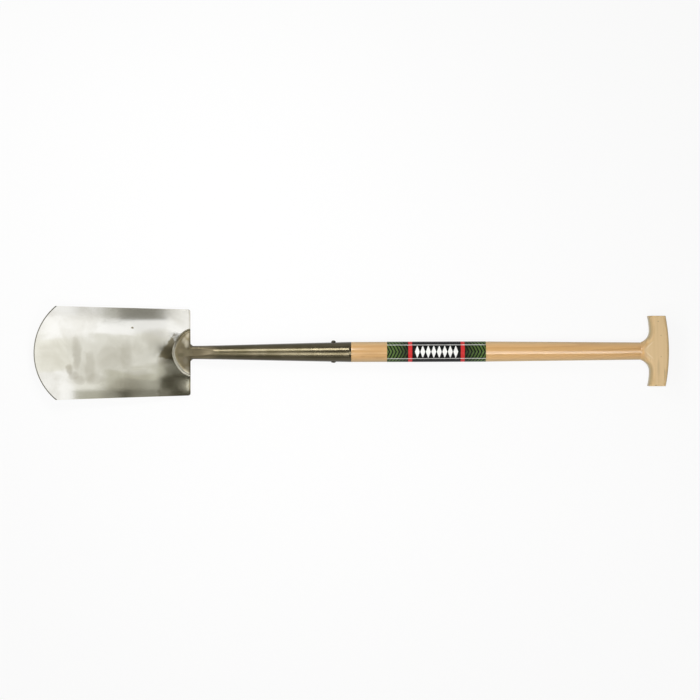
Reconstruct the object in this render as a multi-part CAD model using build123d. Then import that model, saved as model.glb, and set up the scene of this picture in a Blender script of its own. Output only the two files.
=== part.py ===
from build123d import *
import math
import os

# A garden spade lying on its back with the blade's front face up.
# +X runs from the blade's tip to the grip, +Z is up, millimetres throughout.
# The origin lies on the ground under the middle of the overall length.

# Blade
BLADE_LENGTH = 280.0
BLADE_EDGE_WIDTH = 168.0
BLADE_SHOULDER_WIDTH = 154.4
BLADE_EDGE_RADIUS = 109.0
BLADE_HEEL_THICKNESS = 3.2
BLADE_TIP_THICKNESS = 1.8
BLADE_DISH_RADIUS = 540.0
BLADE_LIFT = 4.0
BLADE_CORNER_RADIUS = 4.5
BEVEL_WIDTH = 2.4
BEVEL_DEPTH = 1.2
TANG_LENGTH = 12.0
TANG_ROOT_RADIUS = 5.0

# Socket, from the blade's shoulder to its mouth
SOCKET_LENGTH = 288.6
SOCKET_MOUTH_DIAMETER = 36.4
SOCKET_THROAT_DIAMETER = 25.0
NECK_LENGTH = 50.0
NECK_WIDTH = 23.8
NECK_CORNER_RADIUS = 7.0
NECK_FLAT_WIDTH = 0.5
NECK_RIDGE_REACH = 25.0
NECK_RIDGE_HEIGHT = 5.5
NECK_CREASE_RADIUS = 6.0
NECK_SECTIONS = 8
FOOT_REACH = 31.4
FOOT_HALF_WIDTH = 41.5
FOOT_CROWN_HEIGHT = 7.6
FOOT_CROWN_RADIUS = 220.0
FOOT_LIP_RADIUS = 2.6
BORE_MOUTH_DIAMETER = 31.8
BORE_END_DIAMETER = 21.0
BORE_DEPTH = 200.0
WELD_RADIUS = 1.8

# Rivet through the socket and the shaft
RIVET_FROM_MOUTH = 31.6
RIVET_SHANK_DIAMETER = 6.5
RIVET_HEAD_DIAMETER = 8.6
RIVET_HEAD_HEIGHT = 3.4
RIVET_TAIL_DIAMETER = 9.0
RIVET_TAIL_HEIGHT = 1.9

# Shaft
SHAFT_DIAMETER = 36.0
SHAFT_GRIP_DIAMETER = 31.0
SHAFT_BARE_LENGTH = 517.3
SHAFT_STRAIGHT_LENGTH = 244.0
TENON_DIAMETER = 20.0

# Grip
GRIP_LENGTH = 125.6
GRIP_THICKNESS = 36.8
GRIP_WAIST_DEPTH = 33.6
GRIP_WAIST_FLAT = 1.0
GRIP_END_STEP = 3.4
GRIP_CROWN_RISE = 6.1
GRIP_FLARE_RADIUS = 20.5
GRIP_FLARE_ANGLE = 12.7
GRIP_COLLAR_ANGLE = 25.0
GRIP_SIDE_ALLOWANCE = 0.4
GRIP_INNER_ROUND = 10.0
GRIP_OUTER_ROUND = 4.5
GRIP_END_ROUND = 1.2
WEDGE_DEPTH = 26.0
WEDGE_HEAD_THICKNESS = 3.4
WEDGE_POINT_THICKNESS = 0.8

# Label
LABEL_FROM_MOUTH = 63.9
LABEL_LENGTH = 176.4
LABEL_THICKNESS = 0.15
LABEL_LAP_WIDTH = 8.0
LABEL_LAP_ANGLE = 225.0

# Clearances
WOOD_FIT = 0.1
RIVET_FIT = 0.05
LABEL_FIT = 0.05

# Places along X and heights above the ground
GRIP_DEPTH = GRIP_WAIST_DEPTH + GRIP_FLARE_RADIUS * (1 - math.sin(math.radians(GRIP_FLARE_ANGLE)))
BLADE_SPAN = BLADE_LENGTH * math.cos(math.radians(BLADE_LIFT))
OVERALL_LENGTH = BLADE_SPAN + SOCKET_LENGTH + SHAFT_BARE_LENGTH + GRIP_DEPTH
X_SHOULDER = BLADE_SPAN - OVERALL_LENGTH / 2
X_HEEL = X_SHOULDER + TANG_LENGTH * math.cos(math.radians(BLADE_LIFT))
X_THROAT = X_SHOULDER + NECK_LENGTH
X_MOUTH = X_SHOULDER + SOCKET_LENGTH
X_BORE_END = X_MOUTH - BORE_DEPTH
X_RIVET = X_MOUTH - RIVET_FROM_MOUTH
X_COLLAR = X_MOUTH + SHAFT_BARE_LENGTH
X_CROWN = X_COLLAR + GRIP_DEPTH
AXIS_HEIGHT = GRIP_THICKNESS / 2
CROWN_RADIUS = ((GRIP_LENGTH / 2) ** 2 + GRIP_CROWN_RISE**2) / (2 * GRIP_CROWN_RISE)

# How far cutting solids reach past what they cut, and how near an edge lies to a face it is on
REACH = 200.0
NEAR = 0.01


def blend(t):
    """Smooth step from 0 to 1 as t goes from 0 to 1, held at both ends."""
    return (1 - math.cos(math.pi * min(max(t, 0.0), 1.0))) / 2


def mix(start, end, share):
    """Value that goes from start to end as share goes from 0 to 1."""
    return start + (end - start) * share


def on_blade(shape):
    """Move a shape from the blade's own frame to its place, resting on the heel with the tip lifted.

    In the blade's frame the shoulder line is x = 0, the tip points to -x and the back is z = 0.
    """
    return Pos(X_HEEL, 0, 0) * Rot(0, BLADE_LIFT, 0) * Pos(-TANG_LENGTH, 0, 0) * shape


def turned(points):
    """Solid turned about the shaft's axis from (x, radius) corners."""
    profile = make_face(Polyline(*[(x, 0, r) for x, r in points], close=True))
    return Pos(0, 0, AXIS_HEIGHT) * revolve(profile, Axis.X)


def long_bar(radius):
    """Round bar along X, longer than the blade, with its lowest line at z = 0."""
    return Pos(0, 0, radius) * Rot(0, -90, 0) * Cylinder(radius, 2 * (BLADE_LENGTH + REACH))


def above_front():
    """All that lies above the blade's front face, in the blade's frame."""
    thinning = math.degrees(math.atan((BLADE_HEEL_THICKNESS - BLADE_TIP_THICKNESS) / BLADE_LENGTH))
    bar = long_bar(BLADE_DISH_RADIUS - BLADE_HEEL_THICKNESS)
    return Pos(0, 0, BLADE_HEEL_THICKNESS) * Rot(0, -thinning, 0) * bar


def under_front():
    """All that lies below the blade's front face, as far back as the end of the tang."""
    block = Box(REACH, REACH, REACH, align=(Align.MAX, Align.CENTER, Align.CENTER))
    return on_blade(Pos(TANG_LENGTH, 0, 0) * block - above_front())


def blade_outline():
    """Outline of the blade and its tang, seen from the front."""
    half_edge = BLADE_EDGE_WIDTH / 2
    half_shoulder = BLADE_SHOULDER_WIDTH / 2
    half_tang = NECK_WIDTH / 2
    corner = BLADE_EDGE_RADIUS - math.sqrt(BLADE_EDGE_RADIUS**2 - half_edge**2) - BLADE_LENGTH
    edge = ThreePointArc((corner, half_edge), (-BLADE_LENGTH, 0), (corner, -half_edge))
    rest = Polyline(
        (corner, -half_edge),
        (0, -half_shoulder),
        (0, -half_tang),
        (TANG_LENGTH, -half_tang),
        (TANG_LENGTH, half_tang),
        (0, half_tang),
        (0, half_shoulder),
        (corner, half_edge),
    )
    face = make_face([edge, rest])
    shoulder = face.vertices().group_by(Axis.X)[-2].sort_by(Axis.Y)
    face = fillet(shoulder[1:3], TANG_ROOT_RADIUS)
    outer = face.vertices().sort_by(lambda v: abs(v.X) + abs(abs(v.Y) - half_shoulder))
    return fillet(outer[:2], BLADE_CORNER_RADIUS)


def make_blade():
    """Dished plate, thinner towards the tip, with a bevel ground along the front of its cutting edge."""
    plate = (extrude(blade_outline(), REACH) & long_bar(BLADE_DISH_RADIUS)) - above_front()
    front = plate.faces().sort_by(SortBy.AREA)[-2:].sort_by(Axis.Z)[-1]
    cutting_edge = plate.edges().sort_by(Axis.X)[:2].sort_by(Axis.Z)[-1]
    plate = chamfer(cutting_edge, BEVEL_WIDTH, BEVEL_DEPTH, reference=front)
    return on_blade(plate)


def foot_outline():
    """Half ellipse of the socket's foot, in the blade's frame."""
    arc = EllipticalCenterArc((0, 0), FOOT_REACH, FOOT_HALF_WIDTH, 90, arc_size=180)
    return make_face([arc, Line(arc @ 1, arc @ 0)])


def make_foot():
    """Slightly crowned foot with a rounded lip, in the blade's frame, before it is fitted to the blade."""
    top = BLADE_HEEL_THICKNESS + FOOT_CROWN_HEIGHT
    crown = Pos(0, 0, top - FOOT_CROWN_RADIUS) * Sphere(FOOT_CROWN_RADIUS)
    foot = extrude(foot_outline(), 2 * top) & crown
    lip = [e for e in foot.edges() if e.geom_type != GeomType.LINE and e.center().Z > FOOT_LIP_RADIUS]
    return fillet(lip, FOOT_LIP_RADIUS)


def neck_section(x):
    """Rounded section of the neck at x, round at the throat and flatter towards the foot."""
    throat = SOCKET_THROAT_DIAMETER / 2
    ridge_end = BLADE_HEEL_THICKNESS + NECK_RIDGE_HEIGHT
    ridge_end += NECK_RIDGE_REACH * math.sin(math.radians(BLADE_LIFT))
    to_end = blend((X_THROAT - x) / (NECK_LENGTH + NECK_RIDGE_REACH))
    to_heel = blend((X_THROAT - x) / (X_THROAT - X_HEEL))
    top = mix(AXIS_HEIGHT + throat, ridge_end, to_end)
    bottom = mix(AXIS_HEIGHT - throat, 0, to_heel)
    width = mix(SOCKET_THROAT_DIAMETER, NECK_WIDTH, to_heel)
    roundest = (min(width, top - bottom) - NECK_FLAT_WIDTH) / 2
    corner = min(mix(throat, NECK_CORNER_RADIUS, to_heel), roundest)
    place = Plane(origin=(x, 0, (top + bottom) / 2), x_dir=(0, 1, 0), z_dir=(1, 0, 0))
    return place * RectangleRounded(width, top - bottom, corner)


def make_neck():
    """Cranked neck from the throat down to the blade, running out as a ridge on the foot."""
    step = (NECK_LENGTH + NECK_RIDGE_REACH) / (NECK_SECTIONS - 1)
    return loft([neck_section(X_THROAT - i * step) for i in range(NECK_SECTIONS)])


def socket_cone():
    """Outside of the tapered socket, from the throat to the mouth."""
    throat = SOCKET_THROAT_DIAMETER / 2
    mouth = SOCKET_MOUTH_DIAMETER / 2
    return turned([(X_THROAT, 0), (X_THROAT, throat), (X_MOUTH, mouth), (X_MOUTH, 0)])


def bore(clearance):
    """Tapered filling of the socket's bore, smaller all round by a clearance."""
    end = BORE_END_DIAMETER / 2 - clearance
    mouth = BORE_MOUTH_DIAMETER / 2 - clearance
    return turned([(X_BORE_END, 0), (X_BORE_END, end), (X_MOUTH, mouth), (X_MOUTH, 0)])


def rivet_bar(clearance):
    """Round bar of the rivet's shank across the socket, larger all round by a clearance."""
    bar = Rot(90, 0, 0) * Cylinder(RIVET_SHANK_DIAMETER / 2 + clearance, 2 * SOCKET_MOUTH_DIAMETER)
    return Pos(X_RIVET, 0, AXIS_HEIGHT) * bar


def is_crease(edge):
    """Whether an edge is the crease between the neck's ridge and the top of the foot."""
    middle = edge.center()
    over_foot = X_SHOULDER - FOOT_REACH / 2 < middle.X < X_SHOULDER
    return over_foot and abs(middle.Y) < NECK_WIDTH / 2 and middle.Z > BLADE_HEEL_THICKNESS + FOOT_LIP_RADIUS


def make_socket():
    """Forged socket, neck and foot, rebated over the blade's shoulder and tang."""
    body = socket_cone() + make_neck() + on_blade(make_foot())
    body = fillet(body.edges().filter_by(is_crease), NECK_CREASE_RADIUS)
    return body - under_front() - bore(0) - rivet_bar(RIVET_FIT)


def make_weld():
    """Bead of weld along the foot's lip, where it meets the blade's front."""
    standing = extrude(foot_outline(), 2 * (BLADE_HEEL_THICKNESS + FOOT_CROWN_HEIGHT)) & above_front()
    root = standing.edges().filter_by(GeomType.BSPLINE).sort_by(Axis.Z)[0]
    bead = sweep(Plane(origin=root @ 0, z_dir=root % 0) * Circle(WELD_RADIUS), path=root)
    return on_blade((bead & above_front()) - make_foot())


def rivet_cap(diameter, height, side):
    """Domed end of the rivet, seated on the socket's outside on its +Y (1) or -Y (-1) side."""
    along = RIVET_FROM_MOUTH / (X_MOUTH - X_THROAT)
    surface = mix(SOCKET_MOUTH_DIAMETER, SOCKET_THROAT_DIAMETER, along) / 2
    half = diameter / 2
    radius = (half**2 + height**2) / (2 * height)
    dome = Pos(0, 0, height - radius) * Sphere(radius) & Cylinder(half, 2 * radius)
    return Pos(X_RIVET, side * surface, AXIS_HEIGHT) * Rot(-90 * side, 0, 0) * dome - socket_cone()


def make_rivet():
    """Rivet with a domed head on one side and a flatter closed head on the other."""
    head = rivet_cap(RIVET_HEAD_DIAMETER, RIVET_HEAD_HEIGHT, 1)
    tail = rivet_cap(RIVET_TAIL_DIAMETER, RIVET_TAIL_HEIGHT, -1)
    return (rivet_bar(0) & socket_cone()) + head + tail


def crown_cylinder():
    """Upright cylinder whose side is the grip's outer face."""
    return Pos(X_CROWN - CROWN_RADIUS, 0, AXIS_HEIGHT) * Cylinder(CROWN_RADIUS, REACH)


def tenon_bar(clearance):
    """Round bar of the shaft's tenon from the collar to past the crown, larger all round by a clearance."""
    length = GRIP_DEPTH + GRIP_CROWN_RISE
    bar = Rot(0, 90, 0) * Cylinder(TENON_DIAMETER / 2 + clearance, length)
    return Pos(X_COLLAR + length / 2, 0, AXIS_HEIGHT) * bar


def make_wedge():
    """Wedge driven into the end of the tenon."""
    half_head = WEDGE_HEAD_THICKNESS / 2
    half_point = WEDGE_POINT_THICKNESS / 2
    x_point = X_CROWN - WEDGE_DEPTH
    sides = Polyline(
        (x_point, -half_point),
        (X_CROWN, -half_head),
        (X_CROWN, half_head),
        (x_point, half_point),
        close=True,
    )
    return extrude(make_face(sides), GRIP_THICKNESS) & tenon_bar(0) & crown_cylinder()


def make_shaft():
    """Turned shaft with a tapered end in the socket, a shoulder at its mouth and a tenon in the grip."""
    stick = turned(
        [
            (X_MOUTH, 0),
            (X_MOUTH, SHAFT_DIAMETER / 2),
            (X_MOUTH + SHAFT_STRAIGHT_LENGTH, SHAFT_DIAMETER / 2),
            (X_COLLAR, SHAFT_GRIP_DIAMETER / 2),
            (X_COLLAR, 0),
        ]
    )
    tenon = (tenon_bar(0) & crown_cylinder()) - make_wedge()
    return stick + bore(WOOD_FIT) + tenon - rivet_bar(RIVET_FIT)


def grip_flare(neck, angle, side):
    """Arc on one side of the shaft, from square to it in to a neck at the collar, met at an angle."""
    depth = GRIP_FLARE_RADIUS * (1 - math.sin(math.radians(angle)))
    spread = GRIP_FLARE_RADIUS * math.cos(math.radians(angle))
    start = (X_COLLAR + depth, side * (neck + spread))
    return TangentArc(start, (X_COLLAR, side * neck), tangent=(0, -side))


def grip_outline():
    """Outline of the T-grip, seen from the front, measured back from the crown."""

    def at(depth, side):
        return (X_CROWN - depth, side)

    half = GRIP_LENGTH / 2
    end = GRIP_WAIST_DEPTH + GRIP_END_STEP
    neck = SHAFT_GRIP_DIAMETER / 2 + GRIP_SIDE_ALLOWANCE
    edges = [ThreePointArc(at(GRIP_CROWN_RISE, -half), at(0, 0), at(GRIP_CROWN_RISE, half))]
    flares = [grip_flare(neck, GRIP_FLARE_ANGLE, side) for side in (-1, 1)]
    for flare, side in zip(flares, (-1, 1)):
        waist = (flare @ 0) + Vector(0, side * GRIP_WAIST_FLAT)
        edges += [
            Line(at(GRIP_CROWN_RISE, side * half), at(end, side * half)),
            TangentArc(waist, at(end, side * half), tangent=(0, side)),
            Line(waist, flare @ 0),
            flare,
        ]
    edges.append(Line(flares[0] @ 1, flares[1] @ 1))
    return make_face(edges)


def grip_collar():
    """Space that the grip fills: round at the shaft, opening along a flare to the full bar."""
    neck = SHAFT_GRIP_DIAMETER / 2
    flare = grip_flare(neck, GRIP_COLLAR_ANGLE, 1)
    x_behind = X_COLLAR - GRIP_FLARE_RADIUS
    x_past = X_CROWN + GRIP_CROWN_RISE
    rest = Polyline(
        flare @ 0,
        (x_behind, (flare @ 0).Y),
        (x_behind, REACH),
        (x_past, REACH),
        (x_past, 0),
        (x_behind, 0),
        (x_behind, neck),
        flare @ 1,
    )
    return Pos(0, 0, AXIS_HEIGHT) * revolve(make_face([flare, rest]), Axis.X)


def on_grip_face(edge):
    """Whether an edge lies on the grip's front or back face."""
    return abs(abs(edge.center().Z - AXIS_HEIGHT) - AXIS_HEIGHT) < NEAR


def on_grip_inside(edge):
    """Whether an edge on a face of the grip runs along its hollow sides and flares."""
    middle = edge.center()
    along = X_COLLAR + NEAR < middle.X < X_CROWN - GRIP_WAIST_DEPTH + NEAR
    return on_grip_face(edge) and along and not on_grip_end(edge)


def on_grip_crown(edge):
    """Whether an edge on a face of the grip runs along its crown."""
    return on_grip_face(edge) and edge.center().X > X_CROWN - GRIP_CROWN_RISE


def on_grip_end(edge):
    """Whether an edge lies on one of the grip's end faces."""
    return abs(edge.center().Y) > GRIP_LENGTH / 2 - NEAR


def make_grip():
    """T-grip, rounded for the hand and bored through for the tenon."""
    block = extrude(grip_outline(), GRIP_THICKNESS)
    block = fillet(block.edges().filter_by(on_grip_inside), GRIP_INNER_ROUND)
    block = fillet(block.edges().filter_by(on_grip_crown), GRIP_OUTER_ROUND)
    block = fillet(block.edges().filter_by(on_grip_end), GRIP_END_ROUND)
    return (block & grip_collar()) - tenon_bar(WOOD_FIT)


def make_label():
    """Printed film round the shaft, with a lapped seam."""
    inner = SHAFT_DIAMETER / 2 + LABEL_FIT
    x_start = X_MOUTH + LABEL_FROM_MOUTH
    x_end = x_start + LABEL_LENGTH

    def layers(count):
        outer = inner + count * LABEL_THICKNESS
        return turned([(x_start, inner), (x_start, outer), (x_end, outer), (x_end, inner)])

    strip = Box(LABEL_LENGTH, LABEL_LAP_WIDTH, REACH, align=(Align.MIN, Align.CENTER, Align.MIN))
    strip = Pos(x_start, 0, AXIS_HEIGHT) * Rot(LABEL_LAP_ANGLE, 0, 0) * strip
    return layers(1) + (layers(2) & strip)


def main():
    os.makedirs("parts", exist_ok=True)
    nodes = {
        "blade": make_blade,
        "socket": make_socket,
        "socket_weld": make_weld,
        "socket_rivet": make_rivet,
        "shaft": make_shaft,
        "grip": make_grip,
        "grip_wedge": make_wedge,
        "label_wrap": make_label,
    }
    for node, make in nodes.items():
        export_step(make(), f"parts/{node}.step")


if __name__ == "__main__":
    main()
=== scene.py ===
import math

import bpy
from bpy.props import FloatProperty, FloatVectorProperty, PointerProperty
from mathutils import Matrix, Vector, noise


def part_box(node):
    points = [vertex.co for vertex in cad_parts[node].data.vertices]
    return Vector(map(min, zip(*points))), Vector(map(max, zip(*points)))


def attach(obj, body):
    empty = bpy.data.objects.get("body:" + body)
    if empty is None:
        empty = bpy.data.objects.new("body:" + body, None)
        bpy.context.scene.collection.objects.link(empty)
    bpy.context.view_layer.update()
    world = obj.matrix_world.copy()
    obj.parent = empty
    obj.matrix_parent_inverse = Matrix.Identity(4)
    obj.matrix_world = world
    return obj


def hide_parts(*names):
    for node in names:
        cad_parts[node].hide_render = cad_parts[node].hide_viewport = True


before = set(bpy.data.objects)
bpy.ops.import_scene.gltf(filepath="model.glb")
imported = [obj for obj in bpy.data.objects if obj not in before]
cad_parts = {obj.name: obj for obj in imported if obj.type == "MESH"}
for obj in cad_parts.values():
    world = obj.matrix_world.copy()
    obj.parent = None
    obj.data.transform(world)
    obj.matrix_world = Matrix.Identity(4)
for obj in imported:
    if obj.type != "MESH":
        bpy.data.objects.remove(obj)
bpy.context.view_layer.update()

bl_info = {
    "name": "Garden spade",
    "version": (1, 0, 0),
    "blender": (4, 5, 0),
    "location": "3D View > Sidebar > Spade",
    "description": "Dresses a garden spade with a T-grip in polished steel, ash and a printed film",
    "category": "Object",
}

BODY = "root"
GRIP_LOW, GRIP_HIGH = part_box("grip")
AXIS_HEIGHT = (GRIP_LOW.z + GRIP_HIGH.z) / 2
MOUTH_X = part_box("socket")[1].x
TIP_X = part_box("blade")[0].x

# Waves in the blade: pitch along and across, share and pitch of the finer ones, and where they fade out
WAVE_PITCH = (13.0, 21.0)
WAVE_PHASE = 0.4
FINE_WAVE_SHARE = 0.45
FINE_WAVE_PITCH = 2.3
WAVE_END_FADE = 0.03
WAVE_SIDE_LIMIT = 0.060
WAVE_SIDE_FADE = 0.034

# Power of the foot's outline: 2 is an ellipse, less is more pointed
FOOT_POWER = 1.65

# Degrees of the foot's outline that its skin leaves out at the toe, and the weld at each shoulder
FOOT_TOE_GAP = 1.5
WELD_END_GAP = 1.5

# Foot: where its hollow starts inside the rim, the run to full depth, and how deep its base is let in
HOLLOW_START = 0.0015
HOLLOW_RUN = 0.006
FOOT_SINK = 0.0006

# Neck on the foot: slope of its flanks, the lead, run and drop with which it sinks away, and its lap
NECK_FLANK = 0.34
NECK_END_LEAD = 0.003
NECK_END_RUN = 0.018
NECK_END_DROP = 0.006
NECK_LAP = 0.004

# Broken edge of the socket's mouth, along and across
MOUTH_CHAMFER = (0.0004, 0.0003)

# Curve on the grip's face that bounds the collar's tint and carries a painted highlight: middle, rounding of
# its point and slope of its arms
GLINT_MIDDLE = 0.0014
GLINT_ROUNDING = 0.0035
GLINT_SLOPE = 1.08

# Handling marks and painted dark reflections on the blade: centre, reach along x and y, and weight
BLADE_MARKS_AND_REFLECTIONS = (
    ((-0.490, -0.003), (0.010, 0.038), 0.30),
    ((-0.502, -0.031), (0.008, 0.012), 0.42),
    ((-0.495, -0.042), (0.013, 0.010), 0.28),
    ((-0.484, -0.050), (0.014, 0.009), 0.24),
    ((-0.465, -0.028), (0.012, 0.034), 0.20),
    ((-0.430, -0.010), (0.030, 0.040), 0.10),
    ((-0.4006, -0.006), (0.011, 0.042), 0.16),
    ((-0.398, -0.064), (0.040, 0.022), 0.30),
    ((-0.354, 0.029), (0.028, 0.020), 0.26),
    ((-0.383, -0.040), (0.030, 0.015), 0.24),
    ((-0.457, -0.048), (0.020, 0.012), 0.20),
    ((-0.337, -0.012), (0.019, 0.014), 0.40),
    ((-0.391, 0.0445), (0.0028, 0.0024), 0.95),
)

# Painted dark reflections before the foot and at the lower shoulder: lines along x, along y and their
# offset, which bound each patch, and its weight
BLADE_DARK_REFLECTIONS = (
    (((1.414, -1.0, 0.4835), (0.50, 1.0, 0.1775), (-1.0, 0.0, -0.3140), (-0.25, -1.0, -0.0465)), 0.88),
    (((1.0, -0.25, 0.3265), (0.15, -1.0, 0.0075)), 0.30),
)

# Painted highlights and painted shade on the foot: centre, reach along x and y, and weight, below zero where
# dark
FOOT_HIGHLIGHTS_AND_SHADE = (
    ((-0.2925, 0.0310), (0.0050, 0.0070), 0.14),
    ((-0.2985, 0.0215), (0.0060, 0.0080), 0.16),
    ((-0.2935, 0.0150), (0.0060, 0.0090), 0.23),
    ((-0.2960, -0.0145), (0.0065, 0.0085), 0.08),
    ((-0.2934, -0.0316), (0.0080, 0.0090), 0.12),
    ((-0.3040, -0.0042), (0.0080, 0.0052), -0.95),
    ((-0.2930, 0.0010), (0.0130, 0.0110), -0.55),
)

# Panels hung over the blade: name, x from and to, y from and to, brightness and share of blue
PANEL_HEIGHT = 1.2
PANELS = (
    ("tip_top", -1.0, -0.468, -0.60, -0.215, 0.90, 1.08),
    ("tip_upper", -1.0, -0.468, -0.215, -0.085, 1.06, 1.08),
    ("tip_middle", -1.0, -0.468, -0.085, 0.10, 0.91, 1.0),
    ("tip_lower", -1.0, -0.468, 0.10, 0.60, 1.0, 1.08),
    ("face_top", -0.468, -0.402, -0.45, -0.215, 0.76, 1.08),
    ("face_upper", -0.468, -0.402, -0.215, -0.085, 1.06, 1.08),
    ("face_middle", -0.468, -0.402, -0.085, 0.165, 0.75, 1.0),
    ("face_lower", -0.468, -0.402, 0.165, 0.215, 0.82, 1.0),
    ("face_bottom", -0.468, -0.402, 0.215, 0.35, 0.38, 0.90),
    ("band_left", -0.402, -0.365, -0.35, -0.195, 0.43, 1.0),
    ("band_right", -0.365, -0.258, -0.35, -0.191, 0.16, 1.0),
    ("heel_bright", -0.402, -0.345, -0.195, -0.09, 0.97, 1.08),
    ("heel_upper", -0.345, -0.258, -0.191, -0.118, 0.84, 1.08),
    ("heel_far", -0.258, -0.02, -0.195, -0.118, 1.0, 1.08),
    ("heel_crest", -0.345, -0.250, -0.118, -0.09, 0.78, 1.0),
    ("heel_corner", -0.250, -0.15, -0.118, -0.099, 1.1, 1.08),
    ("heel_middle", -0.402, -0.252, -0.09, -0.03, 0.75, 1.0),
    ("heel_centre", -0.402, -0.270, -0.03, 0.10, 0.72, 1.0),
    ("heel_patch", -0.270, -0.243, 0.06, 0.125, 0.46, 0.90),
    ("heel_lower", -0.402, -0.272, 0.10, 0.14, 0.52, 0.90),
    ("foot_left", -0.402, -0.355, 0.14, 0.213, 0.46, 0.90),
    ("foot_right", -0.355, -0.272, 0.14, 0.213, 0.33, 0.90),
    ("base_left", -0.402, -0.365, 0.213, 0.35, 0.21, 0.90),
    ("base_right", -0.342, -0.25, 0.213, 0.35, 0.17, 0.90),
    ("shoulder", -0.258, -0.02, -0.36, -0.195, 0.98, 1.08),
    ("glint", -0.2115, -0.200, 0.162, 0.222, 2.2, 0.90),
)

# Other soft lights: name, centre, size, brightness and the point that they face
LIGHTS = (
    ("strip_socket", (-0.129, -0.25, 0.6), (0.242, 0.19), 7.4, (-0.129, 0.0, 0.0)),
    ("strip_shaft", (0.4025, -0.26, 0.6), (0.335, 0.15), 4.2, (0.4025, 0.0, 0.0)),
    ("strip_far", (-0.205, 0.45, 0.69), (0.41, 0.22), 12.5, (-0.205, 0.0, 0.0)),
    ("fill_low", (-0.16, -0.52, 0.55), (0.36, 0.22), 0.8, (-0.16, 0.0, 0.0)),
    ("end_tip", (-1.7, -0.25, 2.2), (1.2, 1.2), 1.5, (0.0, 0.0, 0.0)),
    ("end_grip", (0.75, -0.4, 2.6), (1.2, 1.2), 3.2, (0.5, 0.0, 0.0)),
    ("flank", (-0.80, 0.60, 0.50), (0.26, 0.18), 4.0, (-0.29, 0.0, 0.0)),
)

# Floor: side, cells along a side and height
FLOOR_SPAN = 30.0
FLOOR_CELLS = 24
FLOOR_HEIGHT = -0.0002

# Camera: lens and sensor in millimetres, view's width and middle at the shaft's line, and turn in degrees
CAMERA_LENS = 135.0
CAMERA_SENSOR = 36.0
VIEW_WIDTH = 1.2521
VIEW_MIDDLE = (-0.0016, 0.00355)
VIEW_TURN = -0.19

# Darker grain on the shaft beside the socket: centre, reach along x and y, and weight
SHAFT_MARKS = (
    ((0.050, -0.0105), (0.014, 0.0018), 0.22),
    ((0.021, -0.0085), (0.006, 0.0020), 0.16),
    ((0.034, -0.0035), (0.020, 0.0010), 0.12),
)

# Specks and a streak on the grip: centre, reach along x and y, and weight
GRIP_MARKS = (
    ((0.5477, 0.0528), (0.0013, 0.0011), 0.75),
    ((0.5527, 0.0277), (0.0010, 0.0013), 0.60),
    ((0.5527, -0.0100), (0.0010, 0.0012), 0.65),
    ((0.5432, -0.0614), (0.0016, 0.0012), 0.80),
    ((0.5590, -0.0420), (0.0012, 0.0140), 0.45),
    ((0.5480, -0.0300), (0.0040, 0.0200), 0.14),
)


# Sizes and colours that a user may change

def length(name, description, default):
    """A length in metres that shows in the sidebar."""
    return FloatProperty(name=name, description=description, default=default, min=0.0, precision=4,
                         subtype="DISTANCE", unit="LENGTH")


def angle(name, description, degrees):
    """An angle that shows in the sidebar in degrees."""
    return FloatProperty(name=name, description=description, default=math.radians(degrees), subtype="ANGLE",
                         unit="ROTATION")


def colour(name, description, red, green, blue):
    """A linear colour that shows in the sidebar as a swatch."""
    return FloatVectorProperty(name=name, description=description, default=(red, green, blue), size=3,
                               min=0.0, max=1.0, subtype="COLOR")


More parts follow.
